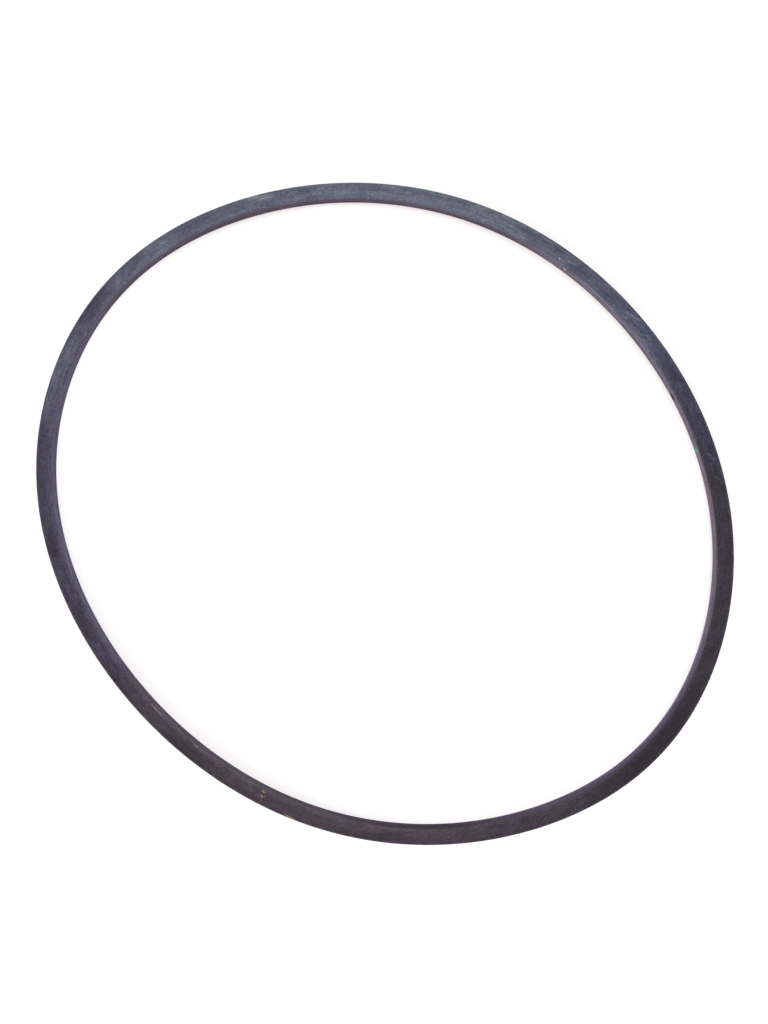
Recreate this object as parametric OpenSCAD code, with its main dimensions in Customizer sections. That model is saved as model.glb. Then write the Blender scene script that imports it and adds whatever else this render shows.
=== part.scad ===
// Square-cut rubber seal ring for the front pump of an automatic gearbox, lying flat and relaxed.
// The ring springs a little out of round when it is off the pump, so its centreline is a closed
// chain of tangent arcs. Every arc turns by the same angle and has a bend radius of its own.
// Origin: middle of the outline, on the underside. X runs along the ring's longest way across.

/* [Section] */
// Inside diameter when the seal is held round
bore_d = 200; // [160:1:260]
// Width of the flat side faces, from the inner wall to the outer wall
face_w = 4.8; // [2.4:0.1:8]
// Height of the walls, from one side face to the other
wall_h = 4.8; // [2.4:0.1:8]
// Radius of the four long edges, slightly dulled
edge_r = 0.25; // [0.1:0.05:0.8]

/* [Lie out of round] */
// How far the two ends of the oval stand out past a round ring
oval_out = 7.3; // [0:0.1:10]
// How far the three bulges of the egg-shaped share stand out
egg_out = 0.5; // [0:0.1:1]
// Direction of the first of those three, from X towards Y
egg_dir = 91; // [0:1:120]
// How far the four corners of the squarish share stand out
square_out = 0.3; // [0:0.05:0.6]
// Direction of the first of those four
square_dir = 7; // [0:1:90]
// How far the five small bulges stand out
five_out = 0.1; // [0:0.05:0.3]
// Direction of the first of those five
five_dir = 6; // [0:1:72]
// How far the six small bulges stand out
six_out = 0.2; // [0:0.05:0.3]
// Direction of the first of those six
six_dir = 46; // [0:1:60]

/* [Hidden] */

arcs = 36;             // arcs in the centreline, a whole number to each quarter turn
arc_turn = 360 / arcs;
mid_r = (bore_d + face_w) / 2;
steps_round = 360;     // facets to a full turn of the preview
edge_steps = 24;       // facets to a full circle of an edge

// Each share of the lie: how many bulges, how far they stand out, direction of the first
shares = [
    [2, oval_out, 0],
    [3, egg_out, egg_dir],
    [4, square_out, square_dir],
    [5, five_out, five_dir],
    [6, six_out, six_dir]
];

// A bulge is where the centreline bends tighter: n bulges of height h take (n * n - 1) * h off it
tighter = [for (s = shares) (s[0] * s[0] - 1) * s[1]];
function bend_r(dir) = mid_r - tighter * [for (s = shares) cos(s[0] * (dir - s[2]))];

function unit(dir) = [cos(dir), sin(dir)];
function arc_r(i) = bend_r((i + 0.5) * arc_turn);

// Two arcs meet on one line through both their centres, so the centre only moves along that line
function arc_centre(i) =
    i == 0 ? [0, 0] : arc_centre(i - 1) + (arc_r(i - 1) - arc_r(i)) * unit(i * arc_turn);

// Where the centreline is when it faces 0, 90, 180 and 270 degrees: its furthest points
function facing(i) = arc_centre(i) + arc_r(i) * unit(i * arc_turn);
outline_mid = [
    (facing(0)[0] + facing(arcs / 2)[0]) / 2,
    (facing(arcs / 4)[1] + facing(3 * arcs / 4)[1]) / 2
];

// Moves in two steps, a rounded one and the tiny rest, so that neighbouring arcs meet exactly
module shift(v) {
    rounded = [for (x = v) round(x * 100) / 100];
    translate(rounded) translate(v - rounded) children();
}

// The square-cut section, centred
module section() {
    x = face_w / 2 - edge_r;
    y = wall_h / 2 - edge_r;
    square([2 * x, wall_h], center = true);
    square([face_w, 2 * y], center = true);
    for (side = [-1, 1], end = [-1, 1])
        translate([side * x, end * y]) circle(r = edge_r, $fn = edge_steps);
}

// One arc of the ring, about its own centre
module ring_arc(i) {
    shift(arc_centre(i) - outline_mid)
        rotate_extrude(start = i * arc_turn, angle = arc_turn, $fn = steps_round)
            shift([arc_r(i), 0]) section();
}

module seal_ring() {
    color("#3b3940")
        translate([0, 0, wall_h / 2])
            for (i = [0 : arcs - 1]) ring_arc(i);
}

seal_ring();
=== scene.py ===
import math

import bpy
import numpy as np
from mathutils import Matrix, Vector


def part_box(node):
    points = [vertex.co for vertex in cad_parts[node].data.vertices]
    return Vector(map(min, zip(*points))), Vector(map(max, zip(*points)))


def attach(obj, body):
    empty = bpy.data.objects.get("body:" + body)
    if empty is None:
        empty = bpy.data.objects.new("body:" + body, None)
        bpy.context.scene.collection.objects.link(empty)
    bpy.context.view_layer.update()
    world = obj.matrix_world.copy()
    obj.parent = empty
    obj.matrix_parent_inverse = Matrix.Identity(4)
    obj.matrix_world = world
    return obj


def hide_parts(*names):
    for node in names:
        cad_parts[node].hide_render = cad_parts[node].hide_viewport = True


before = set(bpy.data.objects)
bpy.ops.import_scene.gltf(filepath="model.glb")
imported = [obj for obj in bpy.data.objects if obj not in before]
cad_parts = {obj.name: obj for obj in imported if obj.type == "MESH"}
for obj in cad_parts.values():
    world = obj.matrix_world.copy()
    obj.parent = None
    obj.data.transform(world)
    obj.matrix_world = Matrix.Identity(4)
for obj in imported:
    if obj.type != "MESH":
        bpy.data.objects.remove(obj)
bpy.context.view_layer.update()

# ---- Where the ring is looked at from ----------------------------------------------
# The ring lies on a table and is looked down on, almost from straight above.
# Its long way across runs from the far left to the near right, so the viewer's
# right is turned against the part's own X. Places and sizes are in metres.

VIEW_TURN = math.radians(34.43)     # from the part's X to the viewer's right
EYE_RIGHT, EYE_FAR, EYE_HEIGHT = 0.00404, 0.01364, 0.3185
AIM_RIGHT, AIM_FAR = -0.00096, 0.0011
LENS_MM, SENSOR_MM = 35.9, 36.0
NEAREST = 0.01


def placed(right, far, up):
    """A point given to the viewer's right, away from the viewer and up from the table."""
    return Matrix.Rotation(VIEW_TURN, 3, "Z") @ Vector((right, far, up))


def faced(obj, target):
    """Turns a camera or a lamp towards target, with its top edge away from the viewer."""
    back = (obj.location - target).normalized()
    side_way = placed(0, 1, 0).cross(back).normalized()
    axes = Matrix((side_way, back.cross(side_way), back)).transposed().to_4x4()
    obj.matrix_world = Matrix.Translation(obj.location) @ axes


lens = bpy.data.cameras.new("eye")
lens.sensor_fit = "VERTICAL"
lens.sensor_height = SENSOR_MM
lens.lens = LENS_MM
lens.clip_start = NEAREST
camera = bpy.data.objects.new("eye", lens)
bpy.context.scene.collection.objects.link(camera)
camera.location = placed(EYE_RIGHT, EYE_FAR, EYE_HEIGHT)
faced(camera, placed(AIM_RIGHT, AIM_FAR, 0))
bpy.context.scene.camera = camera
bpy.context.scene.view_settings.view_transform = "Standard"

# ---- The seal ring's shape -----------------------------------------------------------
# One endless ring of nitrile rubber. It is moulded as a tube on a steel core, its
# outside is ground true and a lathe knife parts off rings of square section. Off the
# pump it springs a little out of round.

MM = 0.001
HEADINGS = 1800                     # cross-sections round the ring
BENDS = 7                           # waves that its lie is made of
EDGE_R = 0.22 * MM                  # long edges, dulled by handling
WORN_MORE, WORN_PLACE = 1.2, 165    # wear adds so many times the bore's top edge radius, most here
EDGE_STEPS, FACE_STEPS = 4, 7
RUN_STEPS = FACE_STEPS + EDGE_STEPS
CORE_FOOT = (0.25 * MM, 147)        # the core sat off centre: how far, and towards which
CORE_TOP = (0.22 * MM, 162)         # place, in degrees round from the viewer's right
FOOT_SPREAD = 0.2 * MM              # the parting knife drags the bore's foot inward
KNIFE_WANDER = 0.03 * MM            # the knife rises and falls this much over the top face
WANDER_WAVES = (9, 14, 23, 37)      # times round the ring
SEED = 7

low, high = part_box("seal_ring")
side = high.z - low.z
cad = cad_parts["seal_ring"]
outline = np.empty(len(cad.data.vertices) * 3)
cad.data.vertices.foreach_get("co", outline)
outline = outline.reshape(-1, 3)[:, :2]

# How far the ring reaches each way gives back its centreline, smooth and closed
heading = np.arange(HEADINGS) / HEADINGS * 2 * np.pi
facing = np.stack([np.cos(heading), np.sin(heading)], 1)
onward = np.stack([-np.sin(heading), np.cos(heading)], 1)
reach = np.fft.rfft((outline @ facing.T).max(0) - side / 2)
reach[BENDS:] = 0
growth = np.fft.irfft(1j * np.arange(len(reach)) * reach, HEADINGS)
reach = np.fft.irfft(reach, HEADINGS)
centreline = reach[:, None] * facing + growth[:, None] * onward
steps = np.hypot(*np.diff(centreline, axis=0, append=centreline[:1]).T)
way = np.concatenate([[0], np.cumsum(steps)[:-1]]) / steps.sum() * 2 * np.pi
mean_r_mm = steps.sum() / (2 * np.pi) / MM
place = np.degrees(np.arctan2(centreline[:, 1], centreline[:, 0]) - VIEW_TURN) % 360

# The section as (out, up) points: up the outside, in over the top, down the bore
# and out along the underside, each run followed by its dulled edge
flat = side / 2 - EDGE_R
section = []
for quarter in range(4):
    turn = Matrix.Rotation(quarter * math.pi / 2, 2)
    run = [(side / 2, y) for y in np.linspace(-flat, flat, FACE_STEPS + 1)]
    angles = np.linspace(0, math.pi / 2, EDGE_STEPS + 1)[1:-1]
    edge = [(flat + EDGE_R * math.cos(a), flat + EDGE_R * math.sin(a)) for a in angles]
    section += [tuple(turn @ Vector(point)) for point in run + edge]
section = np.array(section)
girth = np.cumsum(np.hypot(*np.diff(section, axis=0, prepend=section[:1], append=section[:1]).T)) / MM
out, up = section.T
inward = np.clip((side / 2 - out) / side, 0, 1)
height = (up + side / 2) / side


def toward(amount, place_to):
    """How far a bore shifted by amount towards a place stands out at each heading."""
    return amount * np.cos(heading - VIEW_TURN - math.radians(place_to))


out, up = np.tile(out, (HEADINGS, 1)), np.tile(up, (HEADINGS, 1))
worn = slice(RUN_STEPS + FACE_STEPS, 2 * RUN_STEPS + 1)
rounder = 1 + WORN_MORE * ((1 + toward(1, WORN_PLACE)[:, None]) / 2) ** 2
out[:, worn] = (out[:, worn] + side / 2) * rounder - side / 2
up[:, worn] = (up[:, worn] - side / 2) * rounder + side / 2

core = toward(*CORE_FOOT)[:, None] * (1 - height) + toward(*CORE_TOP)[:, None] * height
out += (core - FOOT_SPREAD * (1 - height)) * inward

chance = np.random.default_rng(SEED)
wander = sum(np.sin(waves * way + chance.uniform(0, 2 * np.pi)) for waves in WANDER_WAVES)
wander = (wander - wander.max()) / np.ptp(wander) * KNIFE_WANDER
up += wander[:, None] * np.clip((height - 0.5) * 2, 0, 1)

points = np.empty(out.shape + (3,))
points[..., :2] = centreline[:, None] + out[..., None] * facing[:, None]
points[..., 2] = low.z + side / 2 + up

rows, columns = out.shape
row, column = np.mgrid[:rows, :columns]
corner_row = np.stack([row, row + 1, row + 1, row], -1)
corner_column = np.stack([column, column, column + 1, column + 1], -1)
quads = corner_row % rows * columns + corner_column % columns
mesh = bpy.data.meshes.new("seal_ring_rubber")
mesh.from_pydata(points.reshape(-1, 3).tolist(), [], quads.reshape(-1, 4).tolist())
mesh.shade_smooth()
ring = bpy.data.objects.new("seal_ring_rubber", mesh)
bpy.context.scene.collection.objects.link(ring)

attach(ring, "root")
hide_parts("seal_ring")

# Where each corner of the mesh is on the rubber: round the ring as a point on a circle,
# and round the section in mm from the foot of the outside, where no pattern has to join
corner_way = way[corner_row % rows]
ring_way = np.stack([np.cos(corner_way), np.sin(corner_way), girth[corner_column]], -1)
mesh.attributes.new("ring_way", "FLOAT_VECTOR", "CORNER").data.foreach_set("vector", ring_way.ravel())

# Unrolled for baking: six lengths of the ring laid flat, one above the other
LENGTHS = 6
GAP = 0.004                         # left clear round each length, as a share of the whole sheet
rows_each = rows // LENGTHS
length_of = row[..., None] // rows_each
along = (corner_row - length_of * rows_each) / rows_each
across = girth[corner_column] / girth[-1]
flat_along = GAP + along * (1 - 2 * GAP)
flat_across = (length_of + GAP * LENGTHS + across * (1 - 2 * GAP * LENGTHS)) / LENGTHS
flat_map = np.stack([flat_along, flat_across], -1)
mesh.uv_layers.new(name="OFBake").data.foreach_set("uv", flat_map.ravel())

# ---- How the rubber has aged, and the light and shade painted with it ----------------
# Wax and sulphur come to the surface of stored rubber as a bloom, blue where it is thin
# and grey where it is thick. Hands and oil leave a brownish film, rubbing wipes all of
# it off again, and the long edges are scuffed pale. The same drifts also paint light and
# shade. The bloom on the far side of the top face is partly a painted sheen of the window.
# The film and bloom down the bore at its left and right are partly painted light. The
# rubbing on the near right of the top face, and down the bore at its near and far sides,
# is partly painted shade. The pale edge lines are partly painted highlights.

BORE_TOP = (girth[RUN_STEPS + FACE_STEPS] + girth[2 * RUN_STEPS]) / 2
ALL_ROUND = 9999                    # so many degrees that a drift doesn't fade anywhere

# Each drift: degrees round from the viewer's right, its length in degrees, then mm out
# from the bore's top edge (less than nothing is down the bore), its width in mm, mm that
# it slants along for each mm out, and how thick it is. Those on the top face come first.
BLOOM_AND_SHEEN = [
    # From about 45 to 160 degrees round, the drifts on the top face are partly bloom and partly a painted
    # sheen of the cool window
    (22, 30, 2.6, 6.0, 0, 0.10),
    (31, 14, 0.6, 2.0, 0, 0.12),
    (46, 32, 2.0, 6.0, 0, 0.31),
    (54, 3, 2.8, 2.0, 0, 0.10),
    (57, 24, 0.6, 2.0, 0, 0.07),
    (70, 110, 4.5, 1.4, 0, 0.14),
    (80, 44, 2.0, 6.0, 0, 0.48),
    (84, 20, 1.8, 2.4, 0, 0.06),
    (89, 5, 3.4, 2.4, 0, 0.10),
    (111, 3, 3.5, 1.8, 0, 0.26),
    (111, 30, 2.2, 6.0, 0, 0.41),
    (113, 2, 4.3, 1.2, 0, 0.24),
    (126, 20, 0.6, 2.0, 0, 0.12),
    (134, 17, 2.4, 6.0, -1.2, 0.42),
    (152, 5, 2.0, 3.0, 0, 0.12),
    (155, 22, 2.6, 5.6, 0, 0.30),
    (158, 9, 3.8, 1.0, 0, 0.10),
    (176, 24, 1.4, 4.6, 0, 0.07),
    (186, 54, 2.6, 6.0, 0, 0.11),
    # Down the bore at its left and right: partly bloom, partly painted light
    (36, 44, -1.1, 1.8, 0, 0.25),
    (142, 24, -3.2, 5.2, 0, 0.13),
    (176, 86, -1.0, 3.0, 0, 0.09),
    (180, 62, -3.0, 4.8, 0, 0.40),
    (320, 84, -4.4, 2.2, 0, 0.32),
    (322, 60, -3.6, 5.0, 0, 0.23),
]
FILM_AND_LIGHT = [
    (138, 76, 1.8, 4.8, 0, 0.30),
    (198, 58, 1.8, 5.6, 0, 0.20),
    (250, 68, 1.8, 6.0, 0, 0.34),
    (290, 48, 1.8, 6.0, 0, 0.17),
    (335, 50, 1.8, 6.0, 0, 0.04),
    # Down the bore, mostly at its right: partly film, partly painted light where the bore faces the lamp at
    # the left
    (3, 60, -3.0, 6.0, 0, 0.72),
    (46, 30, -1.8, 4.2, 0, 0.62),
    (50, 28, -4.0, 3.0, 0, 0.30),
    (100, 66, -2.0, 4.0, 0, 0.14),
    (240, 66, -3.0, 6.0, 0, 0.20),
    (354, 56, -4.2, 2.4, 0, 0.40),
]
RUBBED_AND_SHADE = [
    # Partly rubbing, partly painted shade on the dulled edge above the bore, which faces the lamp at the
    # left
    (4, 30, 0.3, 2.0, 0, 0.35),
    (52, 4, 1.4, 3.0, 0, 0.25),
    (63, 4, 2.8, 3.0, 0, 0.25),
    (75, 100, 3.6, 1.0, 0, 0.14),
    (104, 4, 3.0, 2.4, 0, 0.25),
    (145, 4, 1.8, 3.0, 0, 0.25),
    (176, 26, 2.8, 3.6, 0, 0.30),
    (185, 4, 2.1, 3.0, 0, 0.40),
    (199, 6, 2.4, 3.6, 0, 0.50),
    (212, 8, 3.0, 2.6, 0, 0.30),
    (230, 14, 3.0, 4.0, 0, 0.45),
    (250, 100, 4.5, 1.4, 0, 0.35),
    (268, 12, 3.4, 3.0, 0, 0.35),
    # Partly rubbing, partly painted shade where the top face takes the least sheen
    (318, 24, 2.4, 6.0, 0, 0.85),
    (342, 44, 2.6, 6.0, 0, 0.30),
    # Down the bore at its far and near sides: partly rubbing, partly painted shade where the bore faces
    # away from the lamps
    (104, 40, -1.4, 4.0, 0, 0.20),
    (170, 12, -2.6, 4.4, 0, 0.25),
    (275, 24, -1.8, 3.4, 0, 0.55),
]
SCUFFED_AND_HIGHLIGHT = [
    # Pale lines along the long edges and beside the bore's top edge: partly scuffing, partly painted
    # highlights where the dulled edges catch the light
    (0, ALL_ROUND, 2.4, 8.0, 0, 0.02),
    (0, ALL_ROUND, 4.8, 1.0, 0, 0.08),
    (0, ALL_ROUND, 0.0, 1.2, 0, 0.02),
    (115, 96, 0.1, 1.9, 0, 0.10),
    (38, 34, -0.2, 1.6, 0, 0.14),
    (240, 130, -0.4, 1.6, 0, 0.07),
]


def drifted(drifts):
    """The thickness of a list of drifts at every vertex."""
    thick = np.zeros((rows, columns))
    for at, length, out_mm, width, slant, amount in drifts:
        off_out = BORE_TOP - girth[:-1] - out_mm
        off_round = (place[:, None] - at + 180) % 360 - 180 - np.degrees(slant * off_out / mean_r_mm)
        thick += amount * np.exp(-(2 * off_round / length) ** 4 - (2 * off_out / width) ** 4)
    return thick


# Kept on the mesh: bloom with painted sheen, film with painted light, rubbing with painted shade and
# scuffing with painted highlights
wear_and_painted_light = np.stack([drifted(BLOOM_AND_SHEEN), drifted(FILM_AND_LIGHT), drifted(RUBBED_AND_SHADE), drifted(SCUFFED_AND_HIGHLIGHT)], -1)
mesh.attributes.new("wear_and_painted_light", "FLOAT_COLOR", "POINT").data.foreach_set("color", wear_and_painted_light.ravel())

# ---- The two side faces ----------------------------------------------------------------
# Knife-cut nitrile rubber: dead black and matt, with faint lines round the ring where
# the knife ran and a fine grain where the rubber tore. It shows every bloom and rub, and
# the sheen and shade painted with them.

FINER = 0.6                         # how much each finer level of a pattern counts
NOISE_LOW, NOISE_HIGH = 0.3, 0.7    # nearly all of a pattern's noise lies between these
MARK_DEPTH = 2.0                    # mm each way through the ring, so that a long mark can bend with it
MARK_CORE, MARK_END = 0.5, 1.2      # a mark fades out between these shares of its half size
RUBBER_IOR = 1.52


def linear(hex_colour):
    """An sRGB hex colour as the linear colour that the shaders want."""
    parts = [int(hex_colour[i:i + 2], 16) / 255 for i in (1, 3, 5)]
    return tuple(p / 12.92 if p <= 0.04045 else ((p + 0.055) / 1.055) ** 2.4 for p in parts) + (1.0,)


def add(tree, kind, inputs, **settings):
    """Adds a shader node with its settings; each input is a value or the output that feeds it."""
    node = tree.nodes.new("ShaderNode" + kind)
    for name, value in settings.items():
        setattr(node, name, value)
    for socket, value in inputs.items():
        if isinstance(value, bpy.types.NodeSocket):
            tree.links.new(value, node.inputs[socket])
        else:
            node.inputs[socket].default_value = value
    return node


def new_finish(name):
    """A new material, with its node tree and its shader."""
    material = bpy.data.materials.new(name)
    material.use_nodes = True
    return material, material.node_tree, material.node_tree.nodes["Principled BSDF"]


def wear_on(tree):
    """How thick the bloom, the film, the rubbing and the scuffing are at a point, with the painted sheen,
    light, shade and highlights that they also carry.
    """
    aged = add(tree, "Attribute", {}, attribute_name="wear_and_painted_light").outputs
    return (*add(tree, "SeparateColor", {"Color": aged["Color"]}).outputs, aged["Alpha"])


def on_ring(tree, scale):
    """Where a point is on the rubber, each way measured in its own unit."""
    where = add(tree, "Attribute", {}, attribute_name="ring_way").outputs["Vector"]
    return add(tree, "VectorMath", {0: where, 1: scale}, operation="MULTIPLY").outputs[0]


def pattern(tree, length_mm, width_mm, detail, swirl, least, most):
    """Noise with cells of this size along and across the ring, spread from least to most."""
    cells = on_ring(tree, (mean_r_mm / length_mm, mean_r_mm / length_mm, 1 / width_mm))
    settings = {"Vector": cells, "Scale": 1.0, "Detail": detail, "Roughness": FINER, "Distortion": swirl}
    noise = add(tree, "TexNoise", settings).outputs[0]
    noise_ends = {"From Min": NOISE_LOW, "From Max": NOISE_HIGH}
    return add(tree, "MapRange", {"Value": noise, **noise_ends, "To Min": least, "To Max": most}).outputs[0]


def cover(tree, *factors):
    """How much of the rubber a coat covers: all its factors as one, kept from 0 to 1."""
    total = factors[0]
    for factor in factors[1:]:
        total = add(tree, "Math", {0: total, 1: factor}, operation="MULTIPLY").outputs[0]
    return add(tree, "Clamp", {0: total}).outputs[0]


def coated(tree, colour, *coats):
    """A colour under its coats, first to last: each is how much it covers, and its own colour."""
    for covers, coat in coats:
        colour = add(tree, "Mix", {0: covers, 6: colour, 7: coat}, data_type="RGBA").outputs[2]
    return colour


def tinged(tree, colour, share, first, last):
    """A colour multiplied by a tinge, which goes from first to last as share goes from 0 to 1."""
    tinge = coated(tree, first, (share, last))
    return add(tree, "VectorMath", {0: colour, 1: tinge}, operation="MULTIPLY").outputs[0]


def shaded(tree, colour, shade):
    """A colour made lighter or darker, this many times."""
    return add(tree, "VectorMath", {0: colour, "Scale": shade}, operation="SCALE").outputs[0]


def mark(tree, at, out_mm, length_mm, width_mm, slope, amount):
    """How strongly one small mark shows: slope is the degrees by which it runs in."""
    nearest = int(np.abs((place - at + 180) % 360 - 180).argmin())
    angle, tilt = way[nearest], math.radians(slope)
    tangent = Vector((-math.sin(angle), math.cos(angle), 0))
    lengthwise = tangent * math.cos(tilt) + Vector((0, 0, math.sin(tilt)))
    through = Vector((-math.cos(angle), -math.sin(angle), 0))
    axes = Matrix((lengthwise, through, lengthwise.cross(through))).transposed()
    centre = Vector((mean_r_mm * math.cos(angle), mean_r_mm * math.sin(angle), BORE_TOP - out_mm))
    local = add(tree, "Mapping", {
        "Vector": on_ring(tree, (mean_r_mm, mean_r_mm, 1)),
        "Location": centre,
        "Rotation": axes.to_euler(),
        "Scale": (length_mm / 2, MARK_DEPTH, width_mm / 2),
    }, vector_type="TEXTURE")
    away = add(tree, "VectorMath", {0: local.outputs[0]}, operation="LENGTH").outputs["Value"]
    fading = {"Value": away, "From Min": MARK_END, "From Max": MARK_CORE, "To Max": amount}
    return add(tree, "MapRange", fading).outputs[0]


# Each scratch, speck or painted highlight: degrees round, mm out from the bore's top edge,
# its length and width in mm, the degrees by which it runs in, its colour and how strongly it shows
CUT_MARKS_AND_HIGHLIGHTS = [
    (10.8, 2.2, 1.5, 0.60, 45, "#8b91a0", 0.24),
    (9.9, 3.0, 1.8, 0.70, 60, "#6f7583", 0.18),
    (6.6, 2.8, 2.0, 0.50, 50, "#6f7583", 0.18),
    (13.1, 3.4, 1.6, 0.40, 30, "#7c8291", 0.18),
    (24.0, 3.0, 2.6, 0.50, -40, "#70788a", 0.15),
    (39.3, 2.9, 7.0, 0.80, 20, "#7f8b97", 0.30),
    (35.5, 1.6, 5.0, 0.80, 35, "#747f92", 0.22),
    (39.9, 1.1, 1.2, 0.40, 50, "#a5b0b6", 0.35),
    # A painted highlight along the bore's top edge, where the edge catches the light
    (47.0, -0.3, 20.0, 1.20, 0, "#9b9fa0", 0.32),
    (56.1, 1.3, 0.5, 0.40, 0, "#cdd6df", 0.90),
    (138.8, 2.4, 5.6, 1.80, 40, "#8a909a", 0.20),
    (168.6, 2.9, 4.0, 0.20, -40, "#77757f", 0.20),
    (170.9, 2.9, 4.6, 0.20, 45, "#77757f", 0.35),
    (176.0, 1.4, 8.0, 0.25, 3, "#7c7986", 0.25),
    (194.5, 0.9, 2.6, 0.90, 10, "#8a8592", 0.14),
    # Two pale lines along the bore's top edge: partly scuffs, partly painted highlights
    (220.7, -0.1, 7.0, 0.50, 0, "#8d8896", 0.50),
    (230.3, -0.1, 2.4, 0.50, 0, "#9a949f", 0.55),
    (246.0, 0.3, 1.5, 1.10, 0, "#97897b", 0.65),
    (246.0, 2.0, 1.8, 0.50, -16, "#a69281", 0.60),
    (246.3, 1.5, 1.1, 0.35, -66, "#9d8575", 0.40),
    (252.4, 4.4, 3.0, 0.70, -6, "#8f7a68", 0.80),
    (251.4, 4.2, 1.2, 0.50, 0, "#8f7a68", 0.50),
]

cut, tree, shader = new_finish("nitrile_rubber_knife_cut")
bloom_and_sheen, film_and_light, rub_and_shade, scuff_and_highlight = wear_on(tree)

# Sizes along and across the ring are in mm. Bloom, and the sheen painted with it, lies in
# clouds and finer wisps, with a thin mist of it all round, the film and the light painted
# with it dry in stains, and the black itself is mottled
clouds = pattern(tree, 8.0, 2.6, 4, 0.8, 0.86, 1.14)
wisps = pattern(tree, 3.4, 0.9, 4, 1.2, 0.82, 1.18)
stains = pattern(tree, 5.0, 2.0, 4, 0.8, 0.55, 1.45)
mottle = pattern(tree, 6.0, 2.2, 3, 0.8, 0.40, 1.60)
mist = pattern(tree, 6.0, 2.2, 4, 1.0, -0.06, 0.07)
lint = pattern(tree, 1.8, 0.9, 4, 1.5, -0.2, 2.2)
tint = pattern(tree, 2.8, 1.0, 3, 0.8, 0.0, 1.0)
# The knife's lines are drawn about six times too coarse, and the torn grain coarser than
# it is too, so that they show
lines = pattern(tree, 45.0, 0.45, 2, 0.0, 0.83, 1.17)
grain = pattern(tree, 0.6, 0.5, 2, 0.4, 0.0, 1.0)

black = coated(tree, linear("#1b151f"), (grain, linear("#2d2631")))
even = cover(tree, bloom_and_sheen, clouds, wisps, lines)
haze_and_sheen_cover = add(tree, "Math", {0: even, 1: mist}, operation="ADD", use_clamp=True).outputs[0]
# Blue where thin: partly bloom, partly a painted reflection of the cool window
haze_and_sheen = coated(tree, linear("#3a467c"), (haze_and_sheen_cover, linear("#9ba49f")))
colour = coated(
    tree, shaded(tree, black, mottle),
    (cover(tree, film_and_light, stains), linear("#5b4852")),
    (haze_and_sheen_cover, haze_and_sheen),
    # Rubbed-off black, partly painted shade
    (cover(tree, rub_and_shade, clouds), linear("#190f18")),
    # Pale scuffs, partly painted highlights
    (cover(tree, scuff_and_highlight, lint, stains), linear("#89898c")),
)
ragged = pattern(tree, 0.9, 0.5, 3, 1.0, 0.3, 1.7)
for at, out_mm, length_mm, width_mm, slope, hex_colour, amount in CUT_MARKS_AND_HIGHLIGHTS:
    showing = cover(tree, mark(tree, at, out_mm, length_mm, width_mm, slope, amount), ragged)
    colour = coated(tree, colour, (showing, linear(hex_colour)))
colour = tinged(tree, colour, tint, (1.12, 0.95, 0.95, 1), (0.89, 1.05, 1.06, 1))
shade = add(tree, "MapRange", {"Value": grain, "To Min": 0.71, "To Max": 1.29}).outputs[0]
tree.links.new(shaded(tree, colour, shade), shader.inputs["Base Color"])

dulling = {"Value": wisps, "From Min": 0.82, "From Max": 1.18, "To Min": 0.5, "To Max": 0.62}
tree.links.new(add(tree, "MapRange", dulling).outputs[0], shader.inputs["Roughness"])
shader.inputs["IOR"].default_value = RUBBER_IOR
shader.inputs["Specular IOR Level"].default_value = 0.20
LINES_SHARE = 0.6                   # of the relief, beside the grain's own
CUT_RELIEF = 0.04 * MM
relief = add(tree, "Math", {0: lines, 1: LINES_SHARE, 2: grain}, operation="MULTIPLY_ADD").outputs[0]
bump = add(tree, "Bump", {"Strength": 1.0, "Distance": CUT_RELIEF, "Height": relief})
tree.links.new(bump.outputs[0], shader.inputs["Normal"])

# ---- The bore ----------------------------------------------------------------------------
# Skin moulded against the polished core: smoother and a shade browner than the cut
# faces. Release wax has dried on it in a streaky haze, which down its left and right is
# partly painted light. Its colour is tinged greenish near the top edge and violet
# towards the foot.

# One green, one black, one pale and one rust-brown speck, given as the cut faces' marks are
BORE_MARKS = [
    (12.2, -2.8, 1.8, 3.6, 0, "#459174", 0.90),
    (22.8, -3.3, 2.6, 3.0, 0, "#180812", 1.00),
    (54.3, -1.4, 1.0, 2.4, 0, "#c4b6b0", 0.65),
    (103.2, -4.6, 0.9, 1.2, 0, "#4a2018", 0.80),
]

skin, tree, shader = new_finish("nitrile_rubber_moulded_skin")
bloom_and_sheen, film_and_light, rub_and_shade, _ = wear_on(tree)
streaks = pattern(tree, 12.0, 1.2, 3, 0.4, 0.6, 1.4)
patches = pattern(tree, 5.0, 2.4, 3, 0.8, 0.78, 1.22)
tint = pattern(tree, 2.4, 1.6, 3, 0.8, 0.0, 1.0)
speckle = pattern(tree, 0.7, 0.7, 2, 0.0, 0.0, 1.0)       # pores, drawn coarse enough to show

bare = coated(tree, linear("#2e1f31"), (speckle, linear("#412c43")))
haze_and_sheen_cover = cover(tree, bloom_and_sheen, streaks)
# Partly wax haze, partly light painted on the bore
haze_and_sheen = coated(tree, linear("#564f80"), (haze_and_sheen_cover, linear("#8c8f92")))
colour = coated(
    tree, bare,
    # The pale film here is partly painted light
    (cover(tree, film_and_light, streaks), linear("#6f6270")),
    (haze_and_sheen_cover, haze_and_sheen),
    # Rubbed-off black, partly painted shade
    (cover(tree, rub_and_shade, streaks), linear("#1e1020")),
)
for at, out_mm, length_mm, width_mm, slope, hex_colour, amount in BORE_MARKS:
    showing = mark(tree, at, out_mm, length_mm, width_mm, slope, amount)
    colour = coated(tree, colour, (showing, linear(hex_colour)))
colour = tinged(tree, colour, tint, (1.13, 0.94, 0.91, 1), (0.88, 1.05, 1.10, 1))
round_section = add(tree, "SeparateXYZ", {"Vector": on_ring(tree, (1, 1, 1))}).outputs["Z"]
downward = {"Value": round_section, "From Min": BORE_TOP, "From Max": BORE_TOP + side / MM}
down = add(tree, "MapRange", downward).outputs[0]
colour = tinged(tree, colour, down, (0.96, 1.06, 0.90, 1), (1.03, 0.93, 1.10, 1))
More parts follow.
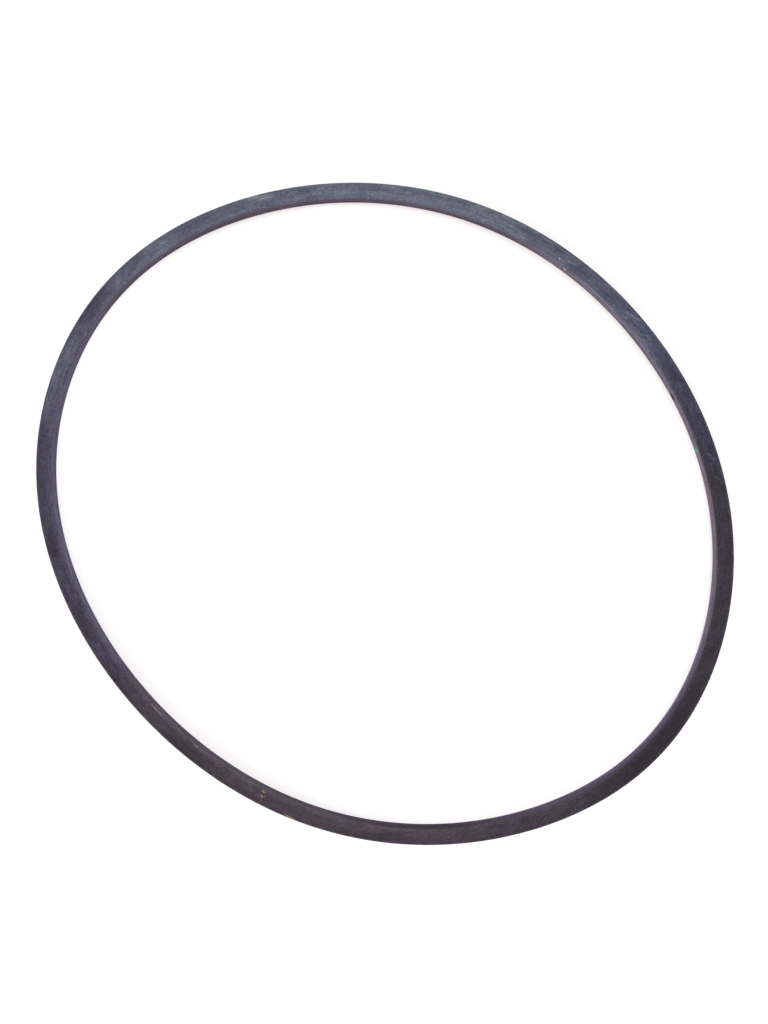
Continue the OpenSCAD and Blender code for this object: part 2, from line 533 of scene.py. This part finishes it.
shade = add(tree, "MapRange", {"Value": speckle, "To Min": 0.8, "To Max": 1.2}).outputs[0]
shade = add(tree, "Math", {0: shade, 1: patches}, operation="MULTIPLY").outputs[0]
tree.links.new(shaded(tree, colour, shade), shader.inputs["Base Color"])

dulling = {"Value": rub_and_shade, "To Min": 0.65, "To Max": 0.9}
tree.links.new(add(tree, "MapRange", dulling).outputs[0], shader.inputs["Roughness"])
shader.inputs["IOR"].default_value = RUBBER_IOR
shader.inputs["Specular IOR Level"].default_value = 0.25

# ---- The outside ---------------------------------------------------------------------------
# Ground true on a cylinder grinder before the rings are parted off: flat black, dull,
# with short fine strokes of the wheel running round it.

ground, tree, shader = new_finish("nitrile_rubber_ground")
strokes = pattern(tree, 5.0, 0.3, 2, 0.2, 0.0, 1.0)       # wheel strokes, drawn coarse enough to show
dust = pattern(tree, 14.0, 3.0, 4, 0.8, 0.0, 0.5)
dull = coated(tree, linear("#1d1a1f"), (strokes, linear("#343036")), (dust, linear("#45434b")))
tree.links.new(dull, shader.inputs["Base Color"])
shader.inputs["Roughness"].default_value = 0.7
shader.inputs["IOR"].default_value = RUBBER_IOR
shader.inputs["Specular IOR Level"].default_value = 0.3
STROKE_RELIEF = 0.03 * MM
bump = add(tree, "Bump", {"Strength": 1.0, "Distance": STROKE_RELIEF, "Height": strokes})
tree.links.new(bump.outputs[0], shader.inputs["Normal"])

# Each run of the section gets its surface; the dulled edges go with the cut faces
surfaces = [ground, cut, skin]
for material in surfaces:
    mesh.materials.append(material)
surface_of = np.full(columns, surfaces.index(cut))
surface_of[:FACE_STEPS] = surfaces.index(ground)
surface_of[2 * RUN_STEPS:2 * RUN_STEPS + FACE_STEPS] = surfaces.index(skin)
mesh.polygons.foreach_set("material_index", np.tile(surface_of, rows))

# ---- Table ---------------------------------------------------------------------------------
# A sheet of white laminate. The little light of its own that it gives off where it is
# seen takes it just past white, so that only the ring's soft shadow shows on it.

TABLE_HALF = 0.8
TABLE_GLOW = (0.385, 0.358, 0.318, 1)


def seen(tree):
    """1 for a ray from the camera, off a gloss or through glass, and 0 for any other."""
    ray = add(tree, "LightPath", {}).outputs
    direct = add(tree, "Math", {0: ray["Is Camera Ray"], 1: ray["Is Glossy Ray"]}, operation="MAXIMUM")
    settings = {0: direct.outputs[0], 1: ray["Is Transmission Ray"]}
    return add(tree, "Math", settings, operation="MAXIMUM").outputs[0]


corners = [(x * TABLE_HALF, y * TABLE_HALF, low.z) for x, y in [(-1, -1), (1, -1), (1, 1), (-1, 1)]]
table_mesh = bpy.data.meshes.new("table_top")
table_mesh.from_pydata(corners, [], [(0, 1, 2, 3)])
table = bpy.data.objects.new("table_top", table_mesh)
bpy.context.scene.collection.objects.link(table)
white, tree, shader = new_finish("white_laminate")
shader.inputs["Base Color"].default_value = (0.85, 0.85, 0.85, 1)
shader.inputs["Roughness"].default_value = 0.9
shader.inputs["Specular IOR Level"].default_value = 0.0
shader.inputs["Emission Color"].default_value = TABLE_GLOW
tree.links.new(seen(tree), shader.inputs["Emission Strength"])
table_mesh.materials.append(white)

# ---- Light -----------------------------------------------------------------------------------
# A bright room, white wherever it is seen, with a cool window light high up beyond the
# ring and to the right, and a low lamp at the left, at the right and on the near side,
# which light the bore.

ROOM_LIGHT = 0.48                   # what the room gives the object, where 1 is the white it is seen as
WATTS = 4                           # a lamp's watts for each square metre, at a radiance of 1

world = bpy.data.worlds.new("room")
bpy.context.scene.world = world
world.use_nodes = True
tree = world.node_tree
air = tree.nodes["Background"]
watched = seen(tree)
air_colour = coated(tree, (1.0, 0.97, 1.0, 1), (watched, (1, 1, 1, 1)))
tree.links.new(air_colour, air.inputs["Color"])
strength = add(tree, "MapRange", {"Value": watched, "To Min": ROOM_LIGHT, "To Max": 1.0}).outputs[0]
tree.links.new(strength, air.inputs["Strength"])


def lamp(name, at, size, radiance, colour):
    """A soft rectangular lamp over the ring: its place and size in metres."""
    light = bpy.data.lights.new(name, "AREA")
    light.shape = "RECTANGLE"
    light.size, light.size_y = size
    light.energy = WATTS * radiance * light.size * light.size_y
    light.color = colour
    obj = bpy.data.objects.new(name, light)
    bpy.context.scene.collection.objects.link(obj)
    obj.location = placed(*at)
    faced(obj, Vector((0, 0, 0)))


lamp("window", (0.35, 0.5, 1.7), (1.0, 0.8), 3.5, (0.88, 0.97, 1.08))
lamp("left_lamp", (-1.6, 0.0, 0.5), (1.1, 0.6), 4.6, (1.0, 0.95, 1.0))
lamp("right_lamp", (1.6, 0.0, 0.6), (0.9, 0.6), 2.0, (0.98, 0.97, 1.02))
lamp("near_lamp", (0.0, -1.5, 0.7), (1.1, 0.6), 3.1, (1.0, 0.97, 0.97))
